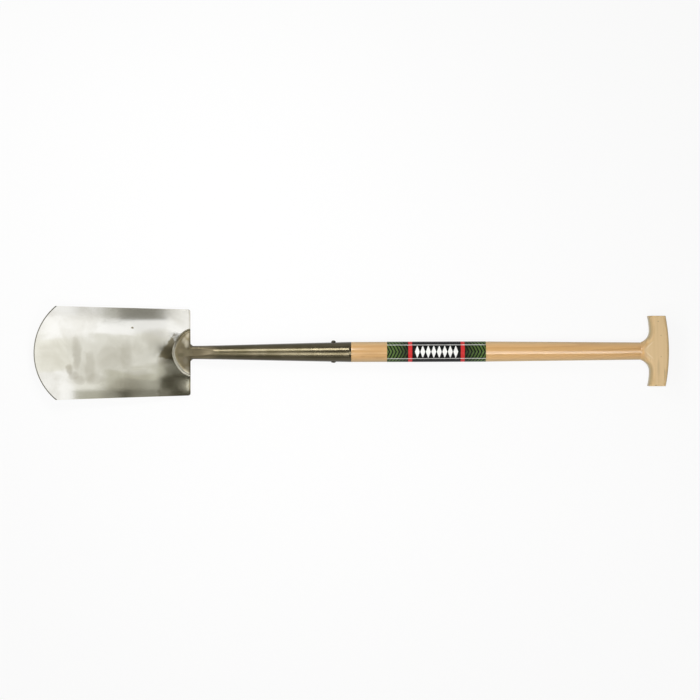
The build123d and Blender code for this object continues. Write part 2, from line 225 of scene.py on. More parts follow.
class SpadeSizes(bpy.types.PropertyGroup):
    """Sizes of the pieces that are built in mesh code, in metres."""

    blade_length: length("Blade length", "From the shoulder to the middle of the cutting edge", 0.280)
    edge_width: length("Edge width", "Blade's width at the corners of the cutting edge", 0.168)
    shoulder_width: length("Shoulder width", "Blade's width at the shoulder", 0.1544)
    edge_radius: length("Edge radius", "Radius of the curved cutting edge", 0.109)
    heel_thickness: length("Heel thickness", "Blade's thickness at the shoulder", 0.0032)
    tip_thickness: length("Tip thickness", "Blade's thickness at the cutting edge", 0.0018)
    dish_radius: length("Dish radius", "Radius that the blade is dished to across its width", 0.540)
    corner_radius: length("Corner radius", "Rounding of the shoulder's corners", 0.0045)
    bevel_width: length("Bevel width", "Width of the ground bevel along the cutting edge", 0.0019)
    bevel_depth: length("Bevel depth", "Metal taken off by the ground bevel", 0.00095)
    tang_length: length("Tang length", "Tongue of the blade that the neck sits on", 0.012)
    tang_width: length("Tang width", "Width of that tongue", 0.0238)
    tang_fillet: length("Tang fillet", "Rounding where the tongue meets the shoulder", 0.005)
    waviness: length("Waviness", "Height of the shallow waves left by rolling and polishing", 0.00028)
    blade_lift: angle("Blade lift", "How far the blade's tip turns up from the shaft's line", 4.0)
    foot_reach: length("Foot reach", "How far the socket's foot runs on to the blade", 0.0314)
    foot_half_width: length("Foot half width", "Half of the foot's width at the shoulder", 0.0415)
    foot_height: length("Foot height", "How far the foot's crown stands above the blade", 0.0076)
    foot_crown: length("Foot crown radius", "Radius of the foot's crown", 0.220)
    foot_lip: length("Foot lip", "Rounding of the foot's lip", 0.0034)
    foot_hollow: length("Foot hollow", "How far the foot is hollowed behind its lip", 0.0006)
    neck_blend: length("Neck blend", "Height over which the neck flows into the foot", 0.007)
    neck_length: length("Neck length", "From the shoulder to the round socket", 0.050)
    neck_reach: length("Neck reach", "How far the neck runs out on the foot", 0.025)
    neck_ridge: length("Neck ridge", "Height of the neck's end above the blade", 0.0055)
    neck_corner: length("Neck corner", "Rounding of the neck's corners at the blade", 0.007)
    throat_diameter: length("Throat diameter", "Socket's diameter at the neck", 0.025)
    mouth_diameter: length("Mouth diameter", "Socket's diameter at its mouth", 0.0364)
    bore_mouth: length("Bore mouth", "Diameter of the socket's bore at its mouth", 0.0318)
    bore_end: length("Bore end", "Diameter of the socket's bore at its bottom", 0.021)
    bore_depth: length("Bore depth", "Depth of the socket's bore", 0.200)
    weld_radius: length("Weld radius", "Radius of the weld bead round the foot", 0.0018)
    rivet_from_mouth: length("Rivet from mouth", "From the socket's mouth to the rivet", 0.0316)
    rivet_seat: length("Rivet seat", "Distance from the shaft's line to the rivet heads' seats", 0.0172)
    rivet_shank: length("Rivet shank", "Diameter of the rivet's shank", 0.0065)
    rivet_head: length("Rivet head", "Diameter of the set head", 0.0086)
    rivet_tail: length("Rivet tail", "Diameter of the hammered tail", 0.009)
    shaft_diameter: length("Shaft diameter", "Shaft's diameter at the socket", 0.036)
    shaft_grip_diameter: length("Shaft grip diameter", "Shaft's diameter where the grip begins", 0.031)
    shaft_straight: length("Shaft straight length", "Length of shaft before it tapers", 0.244)
    shaft_bare: length("Shaft bare length", "From the socket's mouth to the grip's collar", 0.5173)
    shaft_end_mouth: length("Tapered end at mouth", "Shaft's diameter inside the socket's mouth", 0.0316)
    shaft_end_tip: length("Tapered end at tip", "Shaft's diameter at the bottom of the bore", 0.0208)
    tenon_diameter: length("Tenon diameter", "Diameter of the tenon inside the grip", 0.020)
    tenon_sink: length("Tenon sink", "How far the tenon's end has shrunk below the crown", 0.00015)
    label_thickness: length("Label thickness", "Thickness of the printed film", 0.00015)
    label_gap: length("Label gap", "Glue between the film and the shaft", 0.00005)
    label_lap: length("Label lap", "Width of the film's overlap", 0.008)
    label_lap_angle: angle("Label lap angle", "Where the overlap lies, from the +Y side", 225.0)


class SpadeColours(bpy.types.PropertyGroup):
    """Linear colours of the finishes."""

    steel: colour("Polished steel", "Bright parts of the blade", 0.86, 0.85, 0.775)
    # Also the colour of the painted highlights on the foot and its lip
    steel_dull: colour("Dull steel", "Clouded parts of the blade", 0.64, 0.62, 0.53)
    # Also the colour of the painted dark reflections and the painted shade at the blade's shoulder
    steel_stain_and_shade: colour("Stained steel", "Handling marks and specks on the blade", 0.22, 0.185, 0.105)
    bronze: colour("Socket steel", "Lacquered dark steel of the socket", 0.132, 0.1135, 0.070)
    # Also the colour of the socket's painted shade
    bronze_dark: colour("Dark socket steel", "Darker patches of the socket", 0.0895, 0.0755, 0.0415)
    # Painted light: the lighter tone laid on the foot and neck's upward faces
    bronze_lit: colour("Worn socket steel", "Foot and neck, where the lacquer is thin", 0.228, 0.190, 0.118)
    rivet: colour("Rivet steel", "Blackened steel of the rivet", 0.075, 0.07, 0.055)
    ash: colour("Ash", "Pale wood of the shaft", 0.69, 0.426, 0.185)
    ash_dark: colour("Ash grain", "Darker growth rings of the shaft", 0.535, 0.292, 0.106)
    ash_grip: colour("Grip ash", "Pale wood of the grip", 0.72, 0.52, 0.275)
    ash_grip_dark: colour("Grip ash grain", "Darker growth rings of the grip", 0.585, 0.39, 0.177)
    wedge: colour("Wedge wood", "Darker wood of the wedge", 0.34, 0.19, 0.085)
    film: colour("Label black", "Ground colour of the printed film", 0.004, 0.004, 0.004)
    print_green: colour("Label green", "Green stripes on the film", 0.085, 0.15, 0.035)
    print_red: colour("Label red", "Red rings on the film", 0.52, 0.03, 0.03)
    # Also the colour of the label's painted reflection lines
    print_pale: colour("Label white", "Pale lozenges and lines on the film", 0.80, 0.80, 0.78)
    floor: colour("Floor", "Studio floor", 0.72, 0.72, 0.72)


# Shader sockets that take part in Python arithmetic

def feed(tree, target, source):
    """Link a wrapped socket to an input, or set the input's own value."""
    if isinstance(source, Value):
        tree.links.new(source.socket, target)
    elif target.type == "RGBA" and len(source) == 3:
        target.default_value = (*source, 1.0)
    else:
        target.default_value = source


class Value:
    """A shader socket; each operator on it adds one Math node."""

    def __init__(self, tree, socket):
        self.tree = tree
        self.socket = socket

    def math(self, operation, *operands):
        node = self.tree.nodes.new("ShaderNodeMath")
        node.operation = operation
        for target, operand in zip(node.inputs, operands):
            feed(self.tree, target, operand)
        return Value(self.tree, node.outputs[0])

    def __add__(self, other):
        return self.math("ADD", self, other)

    __radd__ = __add__

    def __sub__(self, other):
        return self.math("SUBTRACT", self, other)

    def __rsub__(self, other):
        return self.math("SUBTRACT", other, self)

    def __mul__(self, other):
        return self.math("MULTIPLY", self, other)

    __rmul__ = __mul__

    def __truediv__(self, other):
        return self.math("DIVIDE", self, other)

    def __rtruediv__(self, other):
        return self.math("DIVIDE", other, self)

    def __pow__(self, other):
        return self.math("POWER", self, other)

    def __abs__(self):
        return self.math("ABSOLUTE", self)

    def __mod__(self, other):
        return self.math("FLOORED_MODULO", self, other)

    def __gt__(self, other):
        return self.math("GREATER_THAN", self, other)

    def __lt__(self, other):
        return self.math("LESS_THAN", self, other)

    def angle_from(self, other):
        return self.math("ARCTAN2", self, other)

    def top(self, other):
        return self.math("MAXIMUM", self, other)


class Shading:
    """A node tree being filled; add() makes every node that isn't plain arithmetic."""

    def __init__(self, owner):
        owner.use_nodes = True
        self.owner = owner
        self.tree = owner.node_tree
        self.tree.nodes.clear()

    def add(self, kind, settings, sockets, output=0):
        """Add a node: its settings first, then the values or links of its sockets by identifier or name."""
        node = self.tree.nodes.new(kind)
        for key, value in settings.items():
            setattr(node, key, value)
        for key, value in sockets.items():
            match = [s for s in node.inputs if s.identifier == key]
            match = match or [s for s in node.inputs if s.name == key]
            feed(self.tree, match[0], value)
        if not node.outputs:
            return None
        return Value(self.tree, node.outputs[output])

    def place(self):
        """Object coordinates, which are metres in the shared frame."""
        return self.add("ShaderNodeTexCoord", {}, {}, 3)

    def outputs(self, value):
        """Every output of the node behind a value, by name."""
        return {out.name: Value(self.tree, out) for out in value.socket.node.outputs}

    def axes(self, vector):
        """The three parts of a vector."""
        return list(self.outputs(self.add("ShaderNodeSeparateXYZ", {}, {"Vector": vector})).values())

    def lean(self):
        """How far the surface leans: 0 where it faces straight up or down, 1 where it stands upright."""
        normal = self.add("ShaderNodeTexCoord", {}, {}, 1)
        return 1.0 - abs(self.axes(normal)[2])

    def scaled(self, vector, scale):
        """A vector stretched differently along each axis."""
        sockets = {"Vector": vector, "Vector_001": scale}
        return self.add("ShaderNodeVectorMath", {"operation": "MULTIPLY"}, sockets)

    def clouds(self, vector, scale, detail=2.0, roughness=0.5, distortion=0.0):
        """Soft noise from 0 to 1."""
        return self.add("ShaderNodeTexNoise", {}, {
            "Vector": vector,
            "Scale": scale,
            "Detail": detail,
            "Roughness": roughness,
            "Distortion": distortion,
        })

    def step(self, value, low, high):
        """A smooth step from 0 to 1 as value runs from low to high."""
        settings = {"interpolation_type": "SMOOTHSTEP"}
        return self.add("ShaderNodeMapRange", settings, {"Value": value, "From Min": low, "From Max": high})

    def blend(self, factor, first, second, kind="MIX"):
        """One colour laid over another."""
        settings = {"data_type": "RGBA", "blend_type": kind}
        sockets = {"Factor_Float": factor, "A_Color": first, "B_Color": second}
        return self.add("ShaderNodeMix", settings, sockets, 2)

    def spot(self, x, y, centre, reach):
        """A soft spot: 1 at its centre, 0 from its rim outwards."""
        across = (x - centre[0]) / reach[0]
        along = (y - centre[1]) / reach[1]
        return self.step(across * across + along * along, 1.0, 0.0)

    def bump(self, height, distance, strength=1.0):
        """A normal from a height."""
        return self.add("ShaderNodeBump", {}, {"Height": height, "Distance": distance, "Strength": strength})

    def surface(self, sockets):
        """Finish a material with a Principled shader, and hand it over."""
        shader = self.add("ShaderNodeBsdfPrincipled", {}, sockets)
        self.add("ShaderNodeOutputMaterial", {}, {"Surface": shader})
        return self.owner


def new_finish(name):
    """The shading of a new, empty material."""
    return Shading(bpy.data.materials.new(name))


def darker(tone, share):
    """A colour dimmed to a share of itself."""
    return [part * share for part in tone]


# Finishes

def blade_finish(sizes, colours):
    """Polished steel: cloudy lengthwise polish, fine scratches, handling marks, specks, painted dark
    reflections and painted shade along the shoulder.
    """
    s = new_finish("blade_steel")
    place = s.place()
    x, y = s.axes(place)[:2]
    cloud = s.clouds(place, 22.0, 3.0, 0.55, 0.4)
    drift = s.clouds(s.scaled(place, (7.0, 20.0, 20.0)), 1.0, 2.0)
    scratch = s.clouds(s.scaled(place, (30.0, 900.0, 900.0)), 1.0, 2.0, 0.6)
    speck = s.step(s.clouds(place, 420.0, 1.0), 0.78, 0.81)
    dull = s.step(cloud * 0.6 + drift * 0.5, 0.45, 0.75)
    tone = s.blend(dull * 0.7, colours.steel, colours.steel_dull)
    wander = (cloud - 0.5) * 0.02
    # Handling marks and painted dark reflections: dark spots where the steel reflects darker surroundings
    for centre, reach, weight in BLADE_MARKS_AND_REFLECTIONS:
        mark = s.spot(x + wander, y - wander, centre, reach)
        tone = s.blend(mark * weight, tone, colours.steel_stain_and_shade)
    # Painted dark reflections: ragged-edged dark patches before the foot and at the lower shoulder
    ragged = (s.clouds(place, 95.0, 3.0, 0.6) - 0.5) * 0.022
    for lines, weight in BLADE_DARK_REFLECTIONS:
        dark_reflection = weight
        for a, b, c in lines:
            dark_reflection = dark_reflection * s.step(x * a + y * b + (ragged + c), -0.003, 0.004)
        tone = s.blend(dark_reflection, tone, colours.steel_stain_and_shade)
    tone = s.blend(speck * 0.35, tone, colours.steel_stain_and_shade)
    end = shoulder_x(sizes)
    # Painted shade along the shoulder, deeper towards the -Y side
    shoulder = s.step(x, end - 0.0034, end - 0.0008) * (abs(y) > sizes.tang_width / 2)
    tone = s.blend(shoulder * (0.35 + s.step(y, 0.02, -0.03) * 0.35), tone, colours.steel_stain_and_shade)
    return s.surface({
        "Base Color": tone,
        "Metallic": 1.0,
        "Roughness": 0.048 + dull * 0.045 + scratch * 0.025,
        "Normal": s.bump(scratch, 0.00002, 0.35),
    })


def socket_finish(sizes, colours):
    """Dark lacquered steel with brown clouds and faint drawing lines; painted shade on its flanks and beside
    the neck, painted light on the foot and neck, and painted highlights and shade on the foot and its lip.
    """
    s = new_finish("socket_steel")
    place = s.place()
    cloud = s.clouds(place, 38.0, 3.0, 0.55, 0.3)
    drawn = s.clouds(s.scaled(place, (12.0, 520.0, 520.0)), 1.0, 2.0, 0.6)
    grit = s.clouds(place, 900.0, 2.0)
    tone = s.blend(s.step(cloud, 0.35, 0.7), colours.bronze, colours.bronze_dark)
    tone = s.blend(drawn * 0.3, tone, colours.bronze_dark)
    lean = s.lean()
    # Painted shade: the socket darkens on its leaning flanks
    tone = s.blend(s.step(lean, 0.0, 0.5) * 0.8, tone, darker(colours.bronze_dark, 0.5))
    x, y = s.axes(place)[:2]
    reach = (x - shoulder_x(sizes)) / sizes.foot_reach
    width = y / sizes.foot_half_width
    rim = s.step(abs(reach)**FOOT_POWER + abs(width)**FOOT_POWER, 0.74, 0.92) * (reach < 0.02)
    # Painted light: the foot and neck are lightened, most towards the neck, and only on their upward faces
    worn = s.step(reach, 1.75, 1.0) * (0.2 + cloud * 0.3 + s.step(reach, -0.2, 0.3) * 0.6)
    worn = worn * (1.0 - s.step(lean, 0.12, 0.55) * 0.8)
    tone = s.blend(worn, tone, colours.bronze_lit)
    # Painted highlights where the weight is above zero, painted shade where it is below
    for centre, size, weight in FOOT_HIGHLIGHTS_AND_SHADE:
        other = colours.steel_dull if weight > 0 else colours.bronze_dark
        tone = s.blend(s.spot(x, y, centre, size) * abs(weight), tone, other)
    # Painted highlight: the foot's lip is lightened along its lower side
    tone = s.blend(rim * s.step(y, 0.026, 0.006) * (0.35 + cloud * 0.7), tone, colours.steel_dull)
    # Painted shade: a strip just past the shoulder, beside the neck, is darkened
    heel = s.step(reach, -0.1, -0.02) * s.step(abs(y), 0.011, 0.015) * (reach < 0.05)
    tone = s.blend(heel * 0.6, tone, darker(colours.bronze_dark, 0.5))
    return s.surface({
        "Base Color": tone,
        "Metallic": 1.0,
        "Roughness": 0.29 + cloud * 0.07 + drawn * 0.04 - s.step(x, MOUTH_X - 0.14, MOUTH_X - 0.02) * 0.10,
        "Coat Weight": 0.13 + cloud * 0.12,
        "Coat Roughness": 0.14,
        "Normal": s.bump(grit * 0.6 + drawn * 0.4, 0.00003, 0.3),
    })


def weld_finish(colours):
    """Ground weld metal, brighter on its ripples, with painted shade darkening it towards the +Y side."""
    s = new_finish("weld_steel")
    place = s.place()
    y = s.axes(place)[1]
    cloud = s.clouds(place, 160.0, 2.0)
    grit = s.clouds(place, 1400.0, 2.0)
    dark = s.step(cloud, 0.45, 0.75) * 0.6
    # Painted shade: the bead turns dark towards the +Y side
    return s.surface({
        "Base Color": s.blend(dark.top(s.step(y, 0.006, 0.026) * 0.9), colours.steel_dull, colours.bronze),
        "Metallic": 1.0,
        "Roughness": 0.24 + cloud * 0.14,
        "Normal": s.bump(grit, 0.00005, 0.4),
    })


def rivet_finish(colours):
    """Blackened steel, worn bright on the hammer's marks."""
    s = new_finish("rivet_steel")
    place = s.place()
    worn = s.step(s.clouds(place, 320.0, 2.0), 0.52, 0.72)
    return s.surface({
        "Base Color": s.blend(worn * 0.5, colours.rivet, colours.bronze),
        "Metallic": 1.0,
        "Roughness": 0.42 - worn * 0.14,
        "Normal": s.bump(s.clouds(place, 1500.0, 2.0), 0.00006, 0.4),
    })


def stretched(s, place, along, across, lengthwise):
    """Coordinates that make noise fine across the grain and draw it out along one axis."""
    scale = [across, across, across]
    scale["xyz".index(along)] = lengthwise
    return s.scaled(place, scale)


def wood_finish(name, pale, dark, along, gloss, contrast, marks, tint_zone):
    """Lacquered ash with growth rings, pores and a few specks, its grain running along one axis, and painted
    shade on its leaning flanks.

    The tint zone gives where the tint starts and ends, the tint, and the start of the curve along which a
    highlight is painted, or None.
    """
    s = new_finish(name)
    place = s.place()
    parts = dict(zip("xyz", s.axes(place)))
    x, y = parts["x"], parts["y"]
    across = [parts[axis] for axis in "xyz" if axis != along]
    bend = s.clouds(stretched(s, place, along, 16.0, 0.9), 1.6, 2.0)
    ring = ((across[0] + across[1] * 0.55 + bend * 0.035) * 150.0) % 1.0
    late = s.step(ring, 0.35, 0.95) * s.step(1.0 - ring, 0.0, 0.12)
    streak = s.clouds(stretched(s, place, along, 210.0, 5.0), 1.0, 3.0, 0.6)
    pore = s.step(s.clouds(stretched(s, place, along, 950.0, 22.0), 1.0, 1.0), 0.6, 0.75)
    speck = s.step(s.clouds(place, 170.0, 1.0), 0.79, 0.83)
    tone = s.blend(late * contrast + streak * 0.4, pale, dark)
    tone = s.blend(pore * (0.12 + late * 0.3), tone, darker(dark, 0.5))
    tone = s.blend(speck * 0.55, tone, darker(dark, 0.3))
    for centre, reach, weight in marks:
        mark = s.spot(x + (bend - 0.5) * 0.002, y, centre, reach)
        tone = s.blend(mark * weight, tone, darker(dark, 0.35))
    first, last, tint, ridge = tint_zone
    lean = s.lean()
    near = s.step(x, last, first)
    if ridge is not None:
        rise = y - GLINT_MIDDLE
        side = (rise * rise + GLINT_ROUNDING**2)**0.5
        past = x - side * GLINT_SLOPE - ridge
        near = near * s.step(past, 0.0016, -0.0060)
        gloss = gloss + near * 0.3
    tone = s.blend(near, tone, tint, "MULTIPLY")
    if ridge is not None:
        # Painted highlight: a pale line along the collar's curve on the grip's face
        line = s.step(abs(past), 0.0026, 0.0) * s.step(side, 0.018, 0.010) * s.step(side, 0.002, 0.009)
        tone = s.blend(line * (0.1 + streak * 0.6), tone, (0.92, 0.77, 0.52))
        # Painted shade on the grip's leaning inner rounding beside the collar
        inner = s.step(x, ridge + 0.020, ridge + 0.017) * s.step(abs(y), 0.014, 0.024)
        tone = s.blend(inner * s.step(lean, 0.0, 0.22), tone, (0.72, 0.71, 0.70), "MULTIPLY")
    # Painted shade: leaning flanks are darkened and cooled
    tone = s.blend(s.step(lean, 0.1, 0.8), tone, (0.75, 0.87, 0.95), "MULTIPLY")
    facing = s.add("ShaderNodeLayerWeight", {}, {"Blend": 0.5}, 1)
    return s.surface({
        "Base Color": tone,
        "Roughness": 0.34 + pore * 0.12,
        "Specular IOR Level": 0.15,
        "Coat Weight": (gloss - pore * 0.1) * (1.0 - facing),
        "Coat IOR": 1.8,
        "Coat Roughness": 0.13,
        "Normal": s.bump(1.0 - pore * 0.7 - late * 0.3, 0.00005, 0.35),
    })


def wedge_finish(colours):
    """End grain of the wedge."""
    s = new_finish("wedge_wood")
    place = s.place()
    fibre = s.clouds(s.scaled(place, (60.0, 700.0, 700.0)), 1.0, 2.0)
    return s.surface({
        "Base Color": s.blend(fibre, colours.wedge, colours.ash_dark),
        "Roughness": 0.48 + fibre * 0.15,
        "Normal": s.bump(fibre, 0.00006, 0.4),
    })


def label_finish(colours, low, high):
    """Black film printed with green slants, pale lozenges and red rings, with pale lines painted where the
    film's lengthwise reflections lie.
    """
    s = new_finish("label_film")
    place = s.place()
    x, y, z = s.axes(place)
    along = (x - low.x) / (high.x - low.x)
    turn = y.angle_from(z - AXIS_HEIGHT)
    mirrored = abs(along - 0.5) * 2.0
    wear = s.clouds(place, 240.0, 2.0)
    slant = (along * 30.0 + abs(turn) * 1.5) % 1.0
    slants = (slant < 0.55) * s.step(mirrored, 0.46, 0.9)
    tone = s.blend(slants * (0.6 + wear * 0.6), colours.film, colours.print_green)
    cell = abs((along * 18.0) % 1.0 - 0.5)
    lozenge = ((cell * 1.25 + abs(turn) * 0.85) < 0.56) * (mirrored < 0.444)
    tone = s.blend(lozenge * 0.96, tone, colours.print_pale)
    tone = s.blend(abs(mirrored - 0.53) < 0.04, tone, colours.print_red)
    # Painted reflections: pale lines along the film where its lengthwise reflections lie
    reflection_lines = s.step(abs(abs(turn) - 0.735), 0.07, 0.03) * (0.3 + wear * 0.5)
    tone = s.blend(reflection_lines, tone, colours.print_pale)
    return s.surface({
        "Base Color": tone,
        "Roughness": 0.36 + wear * 0.1,
        "Specular IOR Level": 0.12,
        "Normal": s.bump(s.clouds(place, 60.0, 1.0), 0.00012, 0.3),
    })


# Pieces

def new_piece(name, points, faces, material, node, sharp=35.0):
    """A mesh piece that takes a CAD node's place and rides with its body."""
    if not points or not faces:
        raise RuntimeError(f"{name} has no mesh")
    mesh = bpy.data.meshes.new(name)
    mesh.from_pydata([tuple(p) for p in points], [], faces)
    mesh.validate()
    mesh.shade_smooth()
    mesh.set_sharp_from_angle(angle=math.radians(sharp))
    mesh.materials.append(material)
    piece = bpy.data.objects.new(name, mesh)
    bpy.context.scene.collection.objects.link(piece)
    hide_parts(node)
    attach(piece, BODY)
    return piece


def dress(node, material):
    """Give a CAD node its finish."""
    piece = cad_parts.get(node)
    if piece is None:
        raise RuntimeError(f"there is no node {node}")
    piece.data.materials.clear()
    piece.data.materials.append(material)
    for polygon in piece.data.polygons:
        polygon.material_index = 0
    return piece


def rings(loops, capped=True):
    """Points and faces of a skin over equal loops of points, with or without caps on its ends."""
    count = len(loops[0])
    points = [p for loop in loops for p in loop]
    faces = []
    for row in range(len(loops) - 1):
        for k in range(count):
            a = row * count + k
            b = row * count + (k + 1) % count
            faces.append((a, b, b + count, a + count))
    if capped:
        last = (len(loops) - 1) * count
        faces.append(tuple(reversed(range(count))))
        faces.append(tuple(range(last, last + count)))
    return points, faces


def grid_faces(rows, columns, start=0, turned=False):
    """Faces over a grid of points that are listed row by row from a starting index."""
    wide = columns + 1
    faces = []
    for row in range(rows):
        for column in range(columns):
            a = start + row * wide + column
            if turned:
                faces.append((a, a + wide, a + wide + 1, a + 1))
            else:
                faces.append((a, a + 1, a + wide + 1, a + wide))
    return faces


def blade_frame(sizes):
    """From the blade's own frame, with its shoulder at zero, to the shared frame."""
    heel = TIP_X + (sizes.blade_length + sizes.tang_length) * math.cos(sizes.blade_lift)
    turn = Matrix.Rotation(sizes.blade_lift, 4, "Y")
    return Matrix.Translation((heel, 0, 0)) @ turn @ Matrix.Translation((-sizes.tang_length, 0, 0))


def blade_wave(sizes, x, y):
    """Shallow waves, fading out at the shoulder and towards the sides."""
    spot = Vector((x * WAVE_PITCH[0], y * WAVE_PITCH[1], WAVE_PHASE))
    wave = noise.noise(spot) + FINE_WAVE_SHARE * noise.noise(spot * FINE_WAVE_PITCH)
    fade = ease(-x / WAVE_END_FADE) * ease((WAVE_SIDE_LIMIT - abs(y)) / WAVE_SIDE_FADE)
    return sizes.waviness * wave * fade


def blade_back(sizes, x, y):
    """Height of the blade's back in its own frame."""
    r = sizes.dish_radius
    return r - math.sqrt(r * r - y * y) + blade_wave(sizes, x, y)


def blade_front(sizes, x, y):
    """Height of the blade's front in its own frame."""
    r = sizes.dish_radius - sizes.heel_thickness
    thinning = (sizes.heel_thickness - sizes.tip_thickness) / sizes.blade_length
    rise = sizes.heel_thickness + min(x, 0.0) * thinning
    return rise + r - math.sqrt(r * r - y * y) + blade_wave(sizes, x, y)


def blade_grid(sizes, side, shoulder, edge, columns, rows):
    """Plan of the blade as a grid of x, y points, drawn in from its sides, shoulder and cutting edge."""
    centre = sizes.edge_radius - sizes.blade_length
    half_edge = sizes.edge_width / 2
    corner = centre - math.sqrt(sizes.edge_radius**2 - half_edge**2)
    slope = (half_edge - sizes.shoulder_width / 2) / corner
    radius = sizes.edge_radius - edge
    tang = sizes.tang_width / 2 - side
    fillet = sizes.tang_fillet + side
    reach = sizes.tang_length - side

    def half_width(x):
        return sizes.shoulder_width / 2 + slope * x - side

    def start(y):
        y = abs(y)
        if y <= tang:
            return reach
        if y < tang + fillet:
            return fillet - math.sqrt(fillet**2 - (tang + fillet - y)**2) - shoulder
        inner = half_width(0.0) - sizes.corner_radius
        if y > inner:
            over = min(y - inner, sizes.corner_radius)
            return math.sqrt(sizes.corner_radius**2 - over**2) - sizes.corner_radius - shoulder
        return -shoulder

    def end(share):
        x = corner
        for _ in range(30):
            y = share * half_width(x)
            x = centre - math.sqrt(max(radius * radius - y * y, 0.0))
        return x

    grid = []
    for share in columns:
        first = start(share * half_width(0.0))
        last = end(share)
        line = []
        for k in range(rows + 1):
            t = k / rows
            x = first + (last - first) * t
            line.append((x, share * half_width(min(x, 0.0))))
        grid.append(line)
    return grid


def blade_columns(sizes):
    """Places of the grid's columns as shares of the half width, with one pair at each side of the tang."""
    inner_steps = 6
    outer_steps = 30
    pair_gap = 0.0004
    crowding = 1.6
    tang = sizes.tang_width / sizes.shoulder_width
    start = tang + pair_gap
    right = [tang * k / inner_steps for k in range(inner_steps + 1)]
    for k in range(outer_steps + 1):
        right.append(start + (1.0 - start) * (1 - (1 - k / outer_steps)**crowding))
    return [-share for share in reversed(right[1:])] + right


def build_blade(sizes, material):
    """Dished blade: front and back skins joined by rounded sides and a ground cutting edge."""
    columns = blade_columns(sizes)
    rows = 110
    last = len(columns) - 1
    chamfer = 0.0003
    low_edge = 0.0002
    # Outlines from the front to the back: inset at sides and cutting edge, and drop at both
    insets = (
        (chamfer, sizes.bevel_width, 0.0, 0.0),
        (0.0, 0.0, chamfer, sizes.bevel_depth),
        (0.0, 0.0, -chamfer, -low_edge),
        (chamfer, low_edge, 0.0, 0.0),
    )
    loop = [(0, j) for j in range(rows)] + [(i, rows) for i in range(last)]
    loop += [(last, j) for j in range(rows, 0, -1)] + [(i, 0) for i in range(last, 0, -1)]
    to_world = blade_frame(sizes)
    points = []
    faces = []
    edges = []
    for number, (side, edge, drop_side, drop_edge) in enumerate(insets):
        grid = blade_grid(sizes, side, side, edge, columns, rows)
        front = number < 2
        height = blade_front if front else blade_back
        skin = number in (0, 3)
        indices = {}
        wanted = loop
        if skin:
            wanted = [(i, j) for i in range(last + 1) for j in range(rows + 1)]
        for i, j in wanted:
            x, y = grid[i][j]
            drop = 0.0
            if j == rows:
                drop = drop_edge
            elif j == 0 or i in (0, last):
                drop = drop_side
            indices[i, j] = len(points)
            points.append(to_world @ Vector((x, y, height(sizes, x, y) - drop)))
        edges.append([indices[key] for key in loop])
        if skin:
            for i in range(last):
                for j in range(rows):
                    quad = (indices[i, j], indices[i, j + 1], indices[i + 1, j + 1], indices[i + 1, j])
                    faces.append(quad if front else tuple(reversed(quad)))
    count = len(loop)
    for upper, lower in zip(edges, edges[1:]):
        for k in range(count):
            n = (k + 1) % count
            faces.append((upper[n], upper[k], lower[k], lower[n]))
    return new_piece("polished_blade", points, faces, material, "blade", 20.0)


def ease(t):
    """A cosine step from 0 to 1."""
    return (1 - math.cos(math.pi * min(max(t, 0.0), 1.0))) / 2


def smooth_top(first, second, reach):
    """The higher of two heights, with a hollow of that reach where they meet."""
    near = max(reach - abs(first - second), 0.0) / reach
    return max(first, second) + near * near * reach / 4


def shoulder_x(sizes):
    """Place of the blade's shoulder along the spade."""
    return TIP_X + sizes.blade_length * math.cos(sizes.blade_lift)


def neck_shape(sizes, x):
    """Top, bottom, width and corner radius of the neck's rounded section at x."""
    throat = shoulder_x(sizes) + sizes.neck_length
    heel = shoulder_x(sizes) + sizes.tang_length * math.cos(sizes.blade_lift)
    radius = sizes.throat_diameter / 2
    end = sizes.heel_thickness + sizes.neck_ridge + sizes.neck_reach * math.sin(sizes.blade_lift)
    to_end = ease((throat - x) / (sizes.neck_length + sizes.neck_reach))
    to_heel = ease((throat - x) / (throat - heel))
    top = AXIS_HEIGHT + radius + (end - AXIS_HEIGHT - radius) * to_end
    bottom = (AXIS_HEIGHT - radius) * (1 - to_heel)
    width = sizes.throat_diameter + (sizes.tang_width - sizes.throat_diameter) * to_heel
    corner = radius + (sizes.neck_corner - radius) * to_heel
    return top, bottom, width, min(corner, width / 2, (top - bottom) / 2)


def section_loop(x, top, bottom, width, corner, steps=14):
    """Points round a rounded rectangle across the spade, anticlockwise seen from the grip."""
    loop = []
    for quarter in range(4):
        side = 1 if quarter in (0, 3) else -1
        rise = 1 if quarter in (0, 1) else -1
        y = side * (width / 2 - corner)
        z = top - corner if rise > 0 else bottom + corner
        for k in range(steps + 1):
            a = math.pi / 2 * (quarter + k / steps)
            loop.append(Vector((x, y + corner * math.cos(a), z + corner * math.sin(a))))
    return loop


def foot_crown(sizes, x, y):
    """Height of the foot's plain crown in the blade's frame."""
    radius = sizes.foot_crown
    return sizes.heel_thickness + sizes.foot_height - radius + math.sqrt(radius * radius - x * x - y * y)


def inside_foot(sizes, x, y):
    """About how far a point lies inside the foot's outline."""
    least = 0.0001
    along = (abs(x) / sizes.foot_reach)**FOOT_POWER
    across = (abs(y) / sizes.foot_half_width)**FOOT_POWER
    share = max((along + across)**(1 / FOOT_POWER), 0.001)
    slope = math.hypot(along / max(abs(x), least), across / max(abs(y), least)) * share**(1 - FOOT_POWER)
    return (1 - share) / max(slope, 1.0)


